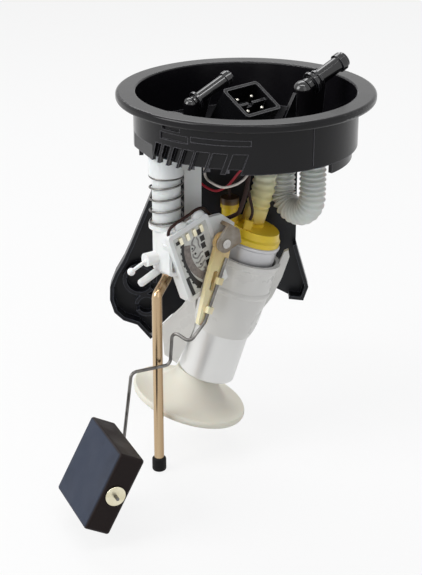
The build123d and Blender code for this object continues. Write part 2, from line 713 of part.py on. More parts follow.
valve_spring_low = valve_seat + plunger_long
valve_spring_long = nozzle_top - ring_t - valve_spring_low
with BuildPart() as valve_spring:
    with BuildLine() as coil:
        Helix(pitch=(valve_spring_long - 0.6) / 5, height=valve_spring_long - 0.6, radius=2.2,
              center=nozzle.offset(valve_spring_low + 0.3).origin, direction=pump_up)
    sweep(ring(Plane(origin=coil.line @ 0, z_dir=coil.line % 0), 0.25), path=coil.line,
          is_frenet=True)
save(valve_spring, "valve_spring")

with BuildPart() as valve_ring:
    extrude(ring(nozzle.offset(nozzle_top - ring_t), valve_bore - slip, 1.5), amount=ring_t)
save(valve_ring, "valve_ring")

# Motor: bushes, brushes, magnets and the armature on its shaft
armature_top = -26.0
armature_low = -60.0
cover_top = -66.0
chamber_top = -75.0
chamber_low = chamber_top - impeller_t - 2 * slide_gap
with BuildPart() as upper_bush:
    extrude(ring(pump_plane(-cap_plug), bush_r, shaft_r + slip), amount=cap_plug - 3.0)
save(upper_bush, "upper_bush")

commutator_top = -cap_plug - 1.0
with BuildPart() as brushes:
    for side in (-1, 1):
        extrude(plate(pump_plane(commutator_top + slide_gap, 0, side * brush_way), 6.0, 5.0, 0.3),
                amount=6.0)
save(brushes, "brushes")

with BuildPart() as motor_magnets:
    with BuildSketch(pump_plane(armature_low - 2)):
        Circle(can_bore - slip)
        Circle(can_bore - magnet_t, mode=Mode.SUBTRACT)
        Rectangle(2.6, 3 * can_r, mode=Mode.SUBTRACT)
    extrude(amount=armature_top - armature_low + 4)
save(motor_magnets, "motor_magnets")

with BuildPart() as motor_shaft:
    shaft_low = chamber_low - 1.0
    extrude(ring(pump_plane(shaft_low), shaft_r), amount=-3.5 - shaft_low)
save(motor_shaft, "motor_shaft")

with BuildPart() as commutator:
    extrude(ring(pump_plane(commutator_top - 5), 13.0, shaft_r + slip), amount=5.0)
save(commutator, "commutator")

with BuildPart() as armature_core:
    with BuildSketch(pump_plane(armature_low)):
        Circle(armature_r)
        Circle(shaft_r + slip, mode=Mode.SUBTRACT)
        with PolarLocations(armature_r - 2.4, 8):
            Rectangle(5.2, 1.8, mode=Mode.SUBTRACT)
    extrude(amount=armature_top - armature_low)
save(armature_core, "armature_core")

# Pumping end: cover, impeller and the inlet cover with its suction tube
with BuildPart() as pump_cover:
    revolve(outline(pump_side, (bush_r + slip, cover_top), (plug_r, cover_top),
                    (plug_r, chamber_top), (bush_r + slip, chamber_top)), axis=pump_axis)
    for side in (-1, 1):
        extrude(ring(pump_plane(chamber_top, 0, side * 11), 2.0),
                amount=cover_top - chamber_top, mode=Mode.SUBTRACT)
save(pump_cover, "pump_cover")

with BuildPart() as lower_bush:
    extrude(ring(pump_plane(chamber_top), bush_r, shaft_r + slip),
            amount=cover_top - chamber_top)
save(lower_bush, "lower_bush")

impeller_r = plug_r - 3.0
with BuildPart() as impeller:
    impeller_low = chamber_low + slide_gap
    with BuildSketch(pump_plane(impeller_low)):
        Circle(impeller_r)
        Circle(shaft_r + slip, mode=Mode.SUBTRACT)
        with PolarLocations(impeller_r - 0.8, 18):
            Rectangle(2.4, 1.8, mode=Mode.SUBTRACT)
    extrude(amount=impeller_t)
save(impeller, "impeller")

with BuildPart() as pump_inlet_cover:
    cover_low = -can_long + can_wall + 1.0
    inlet_low = -can_long - 11.0
    revolve(outline(pump_side, (0, cover_low), (can_bore - 2.0, cover_low), (plug_r, cover_low + 1.5),
                    (plug_r, chamber_top), (impeller_r + slide_gap, chamber_top),
                    (impeller_r + slide_gap, chamber_low), (0, chamber_low)), axis=pump_axis)
    extrude(ring(pump_plane(cover_low, inlet_shift), inlet_r), amount=inlet_low - cover_low)
    extrude(ring(pump_plane(inlet_low, inlet_shift), inlet_r - 1.4),
            amount=chamber_low - inlet_low, mode=Mode.SUBTRACT)
    extrude(ring(pump_plane(chamber_low - 2.0), shaft_r + slip), amount=2.0, mode=Mode.SUBTRACT)
save(pump_inlet_cover, "pump_inlet_cover")

# Rubber sleeve between the can and the cup
cup_bore = cup_r - cup_wall
with BuildPart() as pump_damper:
    revolve(outline(pump_side, (can_r + slip, cup_top - 3.5), (cup_bore - slip, cup_top - 3.5),
                    (cup_bore - slip, cup_low + 10), (can_r + slip, cup_low + 10)),
            axis=pump_axis)
save(pump_damper, "pump_damper")

# Cup with its bead, mounting lugs, side ear and lower wing
with BuildPart() as pump_cup:
    with BuildSketch(pump_side):
        with BuildLine():
            lip = Polyline((cup_bore, cup_top), (cup_r + 0.9, cup_top), (cup_r + 0.9, cup_top - 3),
                           (cup_r, cup_top - 4), (cup_r, cup_top - 18))
            bead = ThreePointArc(lip @ 1, (cup_r + 0.9, cup_top - 20), (cup_r, cup_top - 22))
            skirt = Line(bead @ 1, (cup_r - 0.6, cup_low + 9))
            base = ThreePointArc(skirt @ 1, (cup_r - 1.4, cup_low + 4), (can_r + 0.9, cup_low))
            Polyline(base @ 1, (can_r + slide_gap, cup_low), (can_r + slide_gap, cup_low + 1.6),
                     (cup_bore, cup_low + 8), lip @ 0)
        make_face()
    revolve(axis=pump_axis)
    for height in (cup_top - 12, cup_top - 38):
        lug = Plane(origin=pump_plane(height, 0, bracket_front).origin, x_dir=pump_right,
                    z_dir=(0, -1, 0))
        extrude(plate(lug, 9, 10, 1.5), amount=bracket_front - cup_bore - 0.9)
    # Ear on the right, rising past the can's rim
    ear = outline(pump_side, (cup_r - 0.8, cup_top - 6), (cup_r + 0.6, cup_top + 8),
                  (cup_r + 2.6, cup_top + 10), (cup_r + 4.6, cup_top + 6), (cup_r + 4.4, cup_top - 8),
                  (cup_r + 2.6, cup_top - 22), (cup_r - 0.8, cup_top - 32))
    extrude(ear, amount=1.6, both=True)
    # Wing at the lower left
    wing = Plane(origin=(0, -6, 0), x_dir=(1, 0, 0), z_dir=(0, -1, 0))
    extrude(outline(wing, (-29, -116), (-38, -129), (-50, -141), (-48.5, -160), (-41, -166),
                    (-30, -142)), amount=1.3, both=True)
    revolve(outline(pump_side, (0, cup_top + 1), (cup_bore, cup_top + 1), (cup_bore, cup_low + 8),
                    (can_r + slide_gap, cup_low + 1.6), (can_r + slide_gap, cup_low - 30),
                    (0, cup_low - 30)), axis=pump_axis, mode=Mode.SUBTRACT)
save(pump_cup, "pump_cup")

# Suction strainer: a wide bell of mesh under the can
strainer_plane = Plane(origin=pump_plane(strainer_down, inlet_shift).origin, x_dir=pump_right,
                       z_dir=(0, -1, 0))
neck_top = -can_long - 0.5 - strainer_down
neck_low = inlet_low - strainer_down
neck_r = 0.74 * can_r
with BuildPart() as strainer:
    with BuildSketch(strainer_plane):
        with BuildLine():
            top = ThreePointArc((neck_r, neck_top), (neck_r + 6, neck_top * 0.42),
                                (strainer_r - 0.8, strainer_edge / 2))
            edge = ThreePointArc(top @ 1, (strainer_r, 0), (strainer_r - 0.8, -strainer_edge / 2))
            under = ThreePointArc(edge @ 1, (strainer_r * 0.6, -strainer_t * 0.36),
                                  (neck_r, -strainer_t / 2 + 0.4))
            Polyline(under @ 1, (0, -strainer_t / 2 + 0.4), (0, neck_low), (inlet_r + slip, neck_low),
                     (inlet_r + slip, neck_top), top @ 0)
        make_face()
    revolve(axis=Axis(strainer_plane.origin, pump_up))
save(strainer, "strainer")

# Rear bracket that carries the cup: a ribbed plate hung from the flange floor
bracket_plane = Plane(origin=(0, bracket_front, 0), x_dir=(1, 0, 0), z_dir=(0, -1, 0))
foot_under = floor_under - foot_t
left_edge = [(-46, foot_under), (-55, -62), (-69.2, -97), (-73.7, -107.1), (-79, -116.4),
             (-82.4, -125), (-82.7, -133.6), (-80.1, -142.3), (-74.6, -147.5), (-66, -150.5),
             (-58, -160.2)]
right_edge = [(28, -133), (37, -134), (40, -125), (32, -97), (32, foot_under)]
with BuildPart() as rear_bracket:
    extrude(outline(bracket_plane, *left_edge, (-45, -147), (-38, -143), (-20, -128), (15, -126),
                    *right_edge), amount=-bracket_t)
    # Foot under the flange floor with the port of the return loop
    with BuildSketch(Plane.XY.offset(floor_under)):
        with Locations((-7, bracket_front + bracket_t)):
            Rectangle(78, 13, align=(Align.CENTER, Align.MAX))
        with Locations(port_at):
            Circle(loop_hose_r)
    extrude(amount=-foot_t)
    with Locations((*port_at, foot_under)):
        Cylinder(spigot_r, spigot_long, align=(Align.CENTER, Align.CENTER, Align.MAX))
        Cylinder(spigot_bore, spigot_long, align=(Align.CENTER, Align.CENTER, Align.MAX),
                 mode=Mode.SUBTRACT)
    # Ribs along both outer edges, and the curled rib in the left lobe
    rooted_edge = [(left_edge[0][0] + rib_w / 2, foot_under + rib_w / 2)] + left_edge[1:]
    for edge_points in (rooted_edge, right_edge[:-1]):
        extrude(outline(bracket_plane, *edge_strip(edge_points, rib_w)), amount=rib_h)
    with BuildSketch(bracket_plane):
        with Locations((-64, -121)):
            Circle(10.5)
            Circle(8.2, mode=Mode.SUBTRACT)
            Polygon((0, 0), (20, -4), (20, -16), align=None, mode=Mode.SUBTRACT)
        with Locations((-60, -138)):
            Circle(7.5)
            Circle(5.2, mode=Mode.SUBTRACT)
            Polygon((0, 0), (-20, 3), (-20, -12), align=None, mode=Mode.SUBTRACT)
    extrude(amount=rib_h - 2)
    for spot in screw_spots:
        with Locations((*spot, foot_under)):
            Cylinder(screw_r + slip, foot_t, align=(Align.CENTER, Align.CENTER, Align.MIN),
                     mode=Mode.SUBTRACT)
save(rear_bracket, "rear_bracket")

with BuildPart() as bracket_screws:
    for spot in screw_spots:
        with Locations((*spot, foot_under)):
            Cylinder(screw_r, pilot_top - foot_under - 0.5,
                     align=(Align.CENTER, Align.CENTER, Align.MIN))
            Cylinder(screw_head_r, screw_head_t, align=(Align.CENTER, Align.CENTER, Align.MAX))
save(bracket_screws, "bracket_screws")

# Hoses: pump to flange, and the return loop
hose_low = nozzle.offset(nozzle_collar).origin
hose_rise = (outlet_x - hose_low.X) / pump_up.X
with BuildPart() as outlet_hose:
    run, section = bent_bar([hose_low, hose_low + pump_up * hose_rise,
                             Vector(outlet_x, outlet_y, gallery_low)],
                            outlet_bend, outlet_hose_r, nozzle_r + slip)
    sweep(section, path=run)
save(outlet_hose, "outlet_hose")

loop_from = Vector(*loop_at, 0)
loop_to = Vector(*port_at, 0)
with BuildPart() as return_hose:
    with BuildLine() as loop:
        down = Line(loop_from + Vector(0, 0, gallery_low), loop_from + Vector(0, 0, loop_low))
        low_mid = (loop_from + loop_to) / 2 + Vector(0, 0, loop_low)
        turn = ThreePointArc(down @ 1, low_mid - Vector(0, 0, (loop_to - loop_from).length / 2),
                             loop_to + Vector(0, 0, loop_low))
        Line(turn @ 1, loop_to + Vector(0, 0, foot_under))
    sweep(ring(Plane(origin=down @ 0, z_dir=(0, 0, -1)), loop_hose_r, spigot_r + slip),
          path=loop.line)
save(return_hose, "return_hose")

# Plugs and leads of the pump, leads of the sender
plug_h = 6.0
small_plug = pump_plane(cap_dome, -5.5, -10.0)
with BuildPart() as pump_plugs:
    with Locations((*tower_at, tower_top)):
        Cylinder(tower_r + 0.6, plug_h, align=(Align.CENTER, Align.CENTER, Align.MIN))
    extrude(plate(small_plug, 5, 5, 0.8), amount=plug_h)
save(pump_plugs, "pump_plugs")

with BuildPart() as pump_leads:
    for top_x, plug in ((3.0, Plane(origin=(*tower_at, tower_top))), (0.0, small_plug)):
        start = plug.offset(plug_h).origin
        path, section = bent_bar([start, plug.offset(plug_h + 5).origin,
                                  (top_x, -13, start.Z + 12), (top_x, -13, floor_under)],
                                 3.0, lead_r)
        sweep(section, path=path)
save(pump_leads, "pump_leads")

with BuildPart() as sender_leads:
    for number, (x, sag) in enumerate(((-4.0, -43.0), (-1.5, -40.0))):
        y = -27.0 + 2.5 * number
        end = lever_point(-16 - 5 * number, 19.0, plate_back - 1.5)
        path, section = bent_bar([(x, y, floor_under), (x, y, sag), (x - 16, y - 1, sag - 2),
                                  (x - 21, y + 1, sag + 5), (end.X, end.Y, sag - 4), end],
                                 2.6, lead_r)
        sweep(section, path=path)
save(sender_leads, "sender_leads")
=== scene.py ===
"""Looks of the fuel pump module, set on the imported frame: materials, corrugated hoses, springs,
leads, the print of the resistor board and small trim. Metres, +Z up. Sizes and routes of the new
pieces are in millimetres until MM turns them."""
from math import ceil, cos, pi, radians, sin, tan

import bmesh
import bpy
from mathutils import Matrix, Vector


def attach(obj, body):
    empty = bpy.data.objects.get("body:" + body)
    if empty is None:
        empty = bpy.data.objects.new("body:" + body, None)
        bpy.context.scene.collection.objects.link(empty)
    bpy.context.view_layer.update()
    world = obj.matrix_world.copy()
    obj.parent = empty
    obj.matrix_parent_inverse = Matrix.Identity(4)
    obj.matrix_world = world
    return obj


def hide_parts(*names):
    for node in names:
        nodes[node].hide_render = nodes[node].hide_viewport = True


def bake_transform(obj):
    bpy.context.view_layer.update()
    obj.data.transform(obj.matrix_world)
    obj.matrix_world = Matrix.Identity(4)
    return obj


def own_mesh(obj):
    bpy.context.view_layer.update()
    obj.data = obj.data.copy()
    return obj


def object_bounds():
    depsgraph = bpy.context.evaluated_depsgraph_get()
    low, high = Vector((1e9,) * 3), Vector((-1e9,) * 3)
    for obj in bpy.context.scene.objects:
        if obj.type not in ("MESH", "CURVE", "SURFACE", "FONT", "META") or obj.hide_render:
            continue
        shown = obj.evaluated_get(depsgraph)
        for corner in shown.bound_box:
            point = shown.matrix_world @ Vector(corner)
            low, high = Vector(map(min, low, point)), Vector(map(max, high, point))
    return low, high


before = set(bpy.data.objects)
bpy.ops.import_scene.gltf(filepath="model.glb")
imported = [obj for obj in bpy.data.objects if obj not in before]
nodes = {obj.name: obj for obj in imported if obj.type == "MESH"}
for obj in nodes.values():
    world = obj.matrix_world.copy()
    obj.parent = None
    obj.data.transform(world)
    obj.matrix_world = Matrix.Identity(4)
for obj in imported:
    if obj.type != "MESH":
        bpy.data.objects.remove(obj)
cad_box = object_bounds()
MM = 0.001

# Directions and places of the solids, in millimetres
pump_tilt = radians(17)
pump_up = Vector((sin(pump_tilt), 0, cos(pump_tilt)))
pump_right = Vector((cos(pump_tilt), 0, -sin(pump_tilt)))
can_top = Vector((3.8, 0, -86.3))
guide = Vector((-45.5975, -26.0, 0))
face_turn = radians(36)
board_way = Vector((cos(face_turn), sin(face_turn), 0))
out_way = Vector((sin(face_turn), -cos(face_turn), 0))
pivot_along, pivot_out, pivot_z = 24, 21, -78
pivot = guide + board_way * pivot_along + out_way * pivot_out + Vector((0, 0, pivot_z))
board_x, board_y, board_depth, board_turn = -14.4, -8.0, -3.0, radians(19.2)
bracket_back = 26.5
skirt_r = 65.0


# Materials
def tone(red, green, blue):
    """Linear colour of an sRGB colour given as 0 to 255."""
    linear = []
    for level in (red, green, blue):
        level = level / 255
        linear.append(level / 12.92 if level <= 0.04045 else ((level + 0.055) / 1.055) ** 2.4)
    return (*linear, 1.0)


def finish(name, colour, rough, metal=0.0, **sockets):
    """Plain surface; other shader sockets are given by name, with _ for a space."""
    mat = bpy.data.materials.new(name)
    mat.use_nodes = True
    shader = mat.node_tree.nodes["Principled BSDF"]
    shader.inputs["Base Color"].default_value = colour
    shader.inputs["Roughness"].default_value = rough
    shader.inputs["Metallic"].default_value = metal
    for key, value in sockets.items():
        shader.inputs[key.replace("_", " ")].default_value = value
    return mat


def coordinates(mat, stretch=(1, 1, 1)):
    """Object coordinates of a material, stretched along the axes."""
    tree = mat.node_tree
    place = tree.nodes.new("ShaderNodeTexCoord")
    scaled = tree.nodes.new("ShaderNodeMapping")
    scaled.inputs["Scale"].default_value = stretch
    tree.links.new(place.outputs["Object"], scaled.inputs["Vector"])
    return scaled.outputs["Vector"]


def noise(mat, scale, detail=3.0, stretch=(1, 1, 1)):
    """Noise over the object's coordinates."""
    tree = mat.node_tree
    grain = tree.nodes.new("ShaderNodeTexNoise")
    grain.inputs["Scale"].default_value = scale
    grain.inputs["Detail"].default_value = detail
    tree.links.new(coordinates(mat, stretch), grain.inputs["Vector"])
    return grain.outputs["Fac"]


def bump(mat, height, strength, depth):
    """Fine relief from a height output."""
    tree = mat.node_tree
    relief = tree.nodes.new("ShaderNodeBump")
    relief.inputs["Strength"].default_value = strength
    relief.inputs["Distance"].default_value = depth
    tree.links.new(height, relief.inputs["Height"])
    tree.links.new(relief.outputs["Normal"], tree.nodes["Principled BSDF"].inputs["Normal"])
    return mat


def spread(mat, factor, socket, *stops):
    """Drives a shader socket by a ramp of (place, colour or level) stops."""
    tree = mat.node_tree
    ramp = tree.nodes.new("ShaderNodeValToRGB")
    bar = ramp.color_ramp
    while len(bar.elements) < len(stops):
        bar.elements.new(0.5)
    for element, (place, colour) in zip(bar.elements, stops):
        element.position = place
        element.color = colour if isinstance(colour, tuple) else (colour, colour, colour, 1)
    tree.links.new(factor, ramp.inputs["Fac"])
    tree.links.new(ramp.outputs["Color"], tree.nodes["Principled BSDF"].inputs[socket])
    return mat


def shaded(mat, factor, *stops):
    """Base colour by a ramp of (place, colour) stops."""
    return spread(mat, factor, "Base Color", *stops)


def along_way(mat, way, low, high):
    """0 to 1 along a direction between two distances, in metres."""
    tree = mat.node_tree
    reach = tree.nodes.new("ShaderNodeVectorMath")
    reach.operation = "DOT_PRODUCT"
    reach.inputs[1].default_value = way
    tree.links.new(coordinates(mat), reach.inputs[0])
    scaled = tree.nodes.new("ShaderNodeMapRange")
    scaled.inputs["From Min"].default_value = low
    scaled.inputs["From Max"].default_value = high
    tree.links.new(reach.outputs["Value"], scaled.inputs["Value"])
    return scaled.outputs["Result"]


def facing(mat, way):
    """How far the piece's own surface faces along a direction or against it."""
    tree = mat.node_tree
    place = tree.nodes.new("ShaderNodeTexCoord")
    reach = tree.nodes.new("ShaderNodeVectorMath")
    reach.operation = "DOT_PRODUCT"
    reach.inputs[1].default_value = way
    tree.links.new(place.outputs["Normal"], reach.inputs[0])
    size = tree.nodes.new("ShaderNodeMath")
    size.operation = "ABSOLUTE"
    tree.links.new(reach.outputs["Value"], size.inputs[0])
    return size.outputs[0]


def mottled(mat, level, grain, amount):
    """A level that a grain raises and lowers by half an amount."""
    tree = mat.node_tree
    sway = tree.nodes.new("ShaderNodeMath")
    sway.operation = "MULTIPLY_ADD"
    sway.inputs[1].default_value = amount
    sway.inputs[2].default_value = -amount / 2
    tree.links.new(grain, sway.inputs[0])
    both = tree.nodes.new("ShaderNodeMath")
    tree.links.new(level, both.inputs[0])
    tree.links.new(sway.outputs[0], both.inputs[1])
    return both.outputs[0]


def edge_highlit(mat, width, plain, edge_highlight):
    """Painted highlight: lighter colour along sharp edges, from a bevel's rounded normal."""
    all_highlight, all_plain = 0.72, 0.98
    tree = mat.node_tree
    rounded = tree.nodes.new("ShaderNodeBevel")
    rounded.samples = 4
    rounded.inputs["Radius"].default_value = width
    true = tree.nodes.new("ShaderNodeNewGeometry")
    apart = tree.nodes.new("ShaderNodeVectorMath")
    apart.operation = "DOT_PRODUCT"
    tree.links.new(rounded.outputs["Normal"], apart.inputs[0])
    tree.links.new(true.outputs["Normal"], apart.inputs[1])
    return shaded(mat, apart.outputs["Value"], (all_highlight, edge_highlight), (all_plain, plain))


def moulded(name, colour, rough, grain=420, depth=0.0002, **sockets):
    """Moulded plastic: fine grain and a roughness that varies a little."""
    relief, patches = 0.1, 70
    mat = finish(name, colour, rough, **sockets)
    bump(mat, noise(mat, grain), relief, depth)
    return spread(mat, noise(mat, patches), "Roughness",
                  (0.3, rough * 0.85), (0.7, rough * 1.2))


def black_plastic(name, plain, edge_highlight, width, rough, grain=420, **sockets):
    """Black moulded plastic with a painted highlight along its sharp edges."""
    return edge_highlit(moulded(name, plain, rough, grain, **sockets), width, plain, edge_highlight)


def worn(mat, rough, scale, stretch=(1, 1, 1)):
    """Roughness that varies as on drawn or tarnished metal."""
    return spread(mat, noise(mat, scale, 3, stretch), "Roughness",
                  (0.3, rough * 0.8), (0.7, rough * 1.3))


def worn_metal(name, dark, light, rough, scale=160, stretch=(1, 1, 1)):
    """Bare metal whose colour varies between two tones."""
    mat = finish(name, light, rough, 1.0)
    shaded(mat, noise(mat, scale, 5, stretch), (0.35, dark), (0.65, light))
    return worn(mat, rough, scale * 2, stretch)


# Directions of the gradients, and the two ends of each along its direction
upright = (0, 0, 1)
can_shade_ends, plug_ends = (-0.1734, -0.0814), (-0.0665, -0.0605)
lever_ends, hose_ends = (-0.125, -0.075), (-0.078, -0.034)
float_broad_way = (-0.8127, -0.345, 0.469)

# Each black plastic: plain colour, then the colour of its painted highlight along sharp edges, its
# width and roughness
flange_black = black_plastic("flange_black", tone(14, 13, 16), tone(104, 103, 108), 0.0009, 0.2,
                             Specular_IOR_Level=0.25)
elbow_black = black_plastic("elbow_black", tone(13, 12, 14), tone(84, 84, 88), 0.0008, 0.14,
                            Specular_IOR_Level=0.7)
socket_black = black_plastic("socket_black", tone(14, 14, 16), tone(112, 112, 115), 0.0012, 0.26,
                             Specular_IOR_Level=0.3)
bracket_black = black_plastic("bracket_black", tone(16, 17, 22), tone(84, 88, 98), 0.0009, 0.34,
                              500, Specular_IOR_Level=0.3)
white_acetal = moulded("white_acetal", tone(232, 232, 230), 0.38, Subsurface_Weight=0.08)
cup_white = moulded("cup_white", tone(222, 221, 217), 0.3, 1400, 0.00002)
# Painted shade: the can is darker towards its top, in a grey band under its rolled rim
can_rough, can_pale = 0.36, tone(230, 230, 228)
can_steel = worn(finish("can_steel", can_pale, can_rough, 0.5), can_rough, 80, (1, 1, 0.1))
shaded(can_steel, along_way(can_steel, pump_up, *can_shade_ends),
       (0.1, can_pale), (0.4, tone(224, 224, 222)), (0.84, tone(168, 168, 170)),
       (0.96, tone(200, 200, 202)))
cap_yellow = moulded("cap_yellow", tone(240, 206, 48), 0.3, Subsurface_Weight=0.05)
# The plugs' upper ends are dark
plug_tone = tone(226, 190, 50)
plug_yellow = moulded("plug_yellow", plug_tone, 0.4)
shaded(plug_yellow, along_way(plug_yellow, upright, *plug_ends),
       (0.42, plug_tone), (0.5, tone(112, 82, 30)), (0.9, tone(66, 46, 24)))
strainer_cream = moulded("strainer_cream", tone(229, 225, 211), 0.6, 1400, 0.0003,
                         Subsurface_Weight=0.1)
rubber_black = moulded("rubber_black", tone(20, 19, 19), 0.6, 900, Specular_IOR_Level=0.15)
# Painted sheen: the float's broad faces are lighter and bluish, its narrow ones darker brown
float_brown = tone(34, 27, 26)
float_black = moulded("float_black", float_brown, 0.46, 1100, 0.0005, Specular_IOR_Level=0.16)
broad_sheen = mottled(float_black, facing(float_black, float_broad_way), noise(float_black, 60, 5), 0.22)
shaded(float_black, broad_sheen, (0.45, tone(22, 12, 11)), (0.7, float_brown), (0.86, tone(36, 38, 46)),
       (1.0, tone(48, 55, 70)))
# The lever is darker towards its pivot
lever_tone = tone(238, 215, 158)
lever_cream = moulded("lever_cream", lever_tone, 0.22, Subsurface_Weight=0.15)
shaded(lever_cream, along_way(lever_cream, upright, *lever_ends),
       (0.1, tone(241, 228, 190)), (0.65, lever_tone), (0.95, tone(200, 162, 108)))
pivot_tone = tone(180, 174, 162)
pivot_grey = moulded("pivot_grey", pivot_tone, 0.18, Transmission_Weight=0.3)
shaded(pivot_grey, noise(pivot_grey, 90), (0.35, tone(142, 120, 92)), (0.65, pivot_tone))
steel_dark = worn_metal("steel_dark", tone(96, 94, 92), tone(134, 132, 129), 0.32)
steel_bright = worn_metal("steel_bright", tone(172, 170, 166), tone(196, 194, 190), 0.28)
pin_nickel = worn_metal("pin_nickel", tone(196, 192, 182), tone(214, 211, 202), 0.22)
bronze = worn_metal("bronze", tone(148, 120, 88), tone(202, 178, 144), 0.2, 220, (1, 1, 0.02))
brass = worn_metal("brass", tone(176, 146, 84), tone(206, 182, 122), 0.3)
nut_brass = worn_metal("nut_brass", tone(216, 208, 178), tone(240, 235, 212), 0.3)
copper = worn_metal("copper", tone(168, 100, 64), tone(196, 126, 86), 0.35)
board_tone = tone(214, 215, 209)
board_pale = moulded("board_pale", board_tone, 0.42)
shaded(board_pale, noise(board_pale, 300), (0.35, tone(196, 197, 192)), (0.65, board_tone))
ink_tone = tone(140, 132, 126)
ink_grey = moulded("ink_grey", ink_tone, 0.45)
shaded(ink_grey, noise(ink_grey, 500, 5), (0.35, tone(112, 104, 100)), (0.65, ink_tone))
ink_black = moulded("ink_black", tone(24, 23, 24), 0.42)
ink_silver = moulded("ink_silver", tone(142, 140, 137), 0.36)
lead_dark = moulded("lead_dark", tone(44, 24, 19), 0.42, Specular_IOR_Level=0.2)
lead_red = moulded("lead_red", tone(172, 26, 46), 0.38)
lead_white = moulded("lead_white", tone(222, 214, 206), 0.42)
inner_plastic = moulded("inner_plastic", tone(120, 112, 104), 0.5)
ferrite = moulded("ferrite", tone(60, 60, 62), 0.6)
hose_pale = moulded("hose_pale", tone(222, 220, 214), 0.34, 300, Subsurface_Weight=0.15)
# The outlet hose yellows towards the pump
hose_tone = tone(238, 224, 176)
hose_amber = moulded("hose_amber", hose_tone, 0.32, 300, Subsurface_Weight=0.2)
shaded(hose_amber, along_way(hose_amber, upright, *hose_ends),
       (0.02, tone(222, 178, 52)), (0.2, tone(236, 208, 128)), (0.55, hose_tone),
       (0.85, tone(234, 230, 218)))

# The nodes that no new piece replaces
dress = {
    flange_black: ["flange"],
    elbow_black: ["supply_elbow", "return_elbow"],
    socket_black: ["socket_shell"],
    bracket_black: ["rear_bracket"],
    white_acetal: ["guide_cap", "sender_housing"],
    cup_white: ["pump_cup"],
    can_steel: ["pump_can"],
    cap_yellow: ["pump_outlet_cap"],
    strainer_cream: ["strainer"],
    rubber_black: ["pump_damper", "foot_tip"],
    plug_yellow: ["pump_plugs"],
    float_black: ["float"],
    lever_cream: ["wiper_lever"],
    pivot_grey: ["pivot_bracket"],
    steel_dark: ["float_wire", "armature_core"],
    steel_bright: ["bracket_screws", "pivot_pin", "motor_shaft"],
    pin_nickel: ["connector_pins"],
    bronze: ["foot_rod", "upper_bush", "lower_bush"],
    brass: ["wiper_contacts", "outlet_valve", "valve_ring"],
    nut_brass: ["float_nut", "sender_terminals"],
    copper: ["commutator"],
    board_pale: ["resistor_board"],
    ink_grey: ["resistor_track"],
    inner_plastic: ["pump_inlet_cover", "pump_cover", "impeller"],
    ferrite: ["motor_magnets", "brushes"],
}
for mat, names in dress.items():
    for name in names:
        mesh = nodes[name].data
        mesh.materials.clear()
        mesh.materials.append(mat)


# Makers of new pieces
def piece(name, points, faces, mat, body, smooth=True):
    """Mesh object of its own that rides on a body, if one is given."""
    mesh = bpy.data.meshes.new(name)
    mesh.from_pydata([tuple(p) for p in points], [], faces)
    mesh.materials.append(mat)
    mesh.validate()
    shell = bmesh.new()
    shell.from_mesh(mesh)
    bmesh.ops.recalc_face_normals(shell, faces=shell.faces)
    shell.to_mesh(mesh)
    shell.free()
    for face in mesh.polygons:
        face.use_smooth = smooth
    obj = bpy.data.objects.new(name, mesh)
    bpy.context.scene.collection.objects.link(obj)
    if body:
        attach(obj, body)
    return obj


def filleted(points, bend, step):
    """Points every step along straight runs joined by arcs."""
    points = [Vector(p) for p in points]
    path = [points[0]]
    for before, corner, after in zip(points, points[1:], points[2:]):
        arrive = (corner - before).normalized()
        leave = (after - corner).normalized()
        turn = arrive.angle(leave)
        reach = bend * tan(turn / 2)
        start = corner - arrive * reach
        path.append(start)
        axis = arrive.cross(leave).normalized()
        centre = start + axis.cross(arrive) * bend
        count = max(2, ceil(bend * turn / step))
        for i in range(1, count + 1):
            path.append(centre + Matrix.Rotation(turn * i / count, 3, axis) @ (start - centre))
    path.append(points[-1])
    return path


def resampled(path, step):
    """The same path with evenly spaced points."""
    lengths = [0.0]
    for a, b in zip(path, path[1:]):
        lengths.append(lengths[-1] + (b - a).length)
    count = max(2, round(lengths[-1] / step))
    even, k = [], 0
    for i in range(count + 1):
        want = lengths[-1] * i / count
        while k < len(path) - 2 and lengths[k + 1] < want:
            k += 1
        span = lengths[k + 1] - lengths[k]
        even.append(path[k].lerp(path[k + 1], (want - lengths[k]) / span if span else 0.0))
    return even


def smooth_path(points, step):
    """Rounded curve through the points, evenly spaced."""
    cuts = 24
    points = [Vector(p) for p in points]
    ends = [points[0] * 2 - points[1]] + points + [points[-1] * 2 - points[-2]]
    fine = []
    for p0, p1, p2, p3 in zip(ends, ends[1:], ends[2:], ends[3:]):
        for i in range(cuts):
            t = i / cuts
            fine.append((p1 * 2 + (p2 - p0) * t + (p0 * 2 - p1 * 5 + p2 * 4 - p3) * t * t
                         + (p1 * 3 - p0 - p2 * 3 + p3) * t ** 3) / 2)
    return resampled(fine + [points[-1]], step)


def frames(path):
    """Two directions across the path at each point, carried along without twist."""
    ways = [(b - a).normalized() for a, b in zip(path, path[1:])]
    ways = [ways[0]] + [(a + b).normalized() for a, b in zip(ways, ways[1:])] + [ways[-1]]
    side = ways[0].orthogonal().normalized()
    result = []
    for way in ways:
        side = (side - way * side.dot(way)).normalized()
        result.append((side, way.cross(side)))
    return result


def tube(name, path, radii, mat, body, around=20, bore=0.0):
    """Round tube along a path with a radius at each point; hollow where a bore is given."""
    points, faces = [], []
    sides = frames(path)

    def add_ring(spot, side, radius):
        first = len(points)
        for i in range(around):
            turn = 2 * pi * i / around
            points.append(spot + (side[0] * cos(turn) + side[1] * sin(turn)) * radius)
        return first

    rows = [add_ring(spot, side, radius) for spot, side, radius in zip(path, sides, radii)]
    if bore:
        rows += [add_ring(spot, side, bore) for spot, side in zip(path[::-1], sides[::-1])]
    links = list(zip(rows, rows[1:])) + ([(rows[-1], rows[0])] if bore else [])
    for low, high in links:
        for i in range(around):
            j = (i + 1) % around
            faces.append((low + i, low + j, high + j, high + i))
    if not bore:
        faces.append(tuple(rows[0] + i for i in reversed(range(around))))
        faces.append(tuple(rows[-1] + i for i in range(around)))
    return piece(name, points, faces, mat, body)


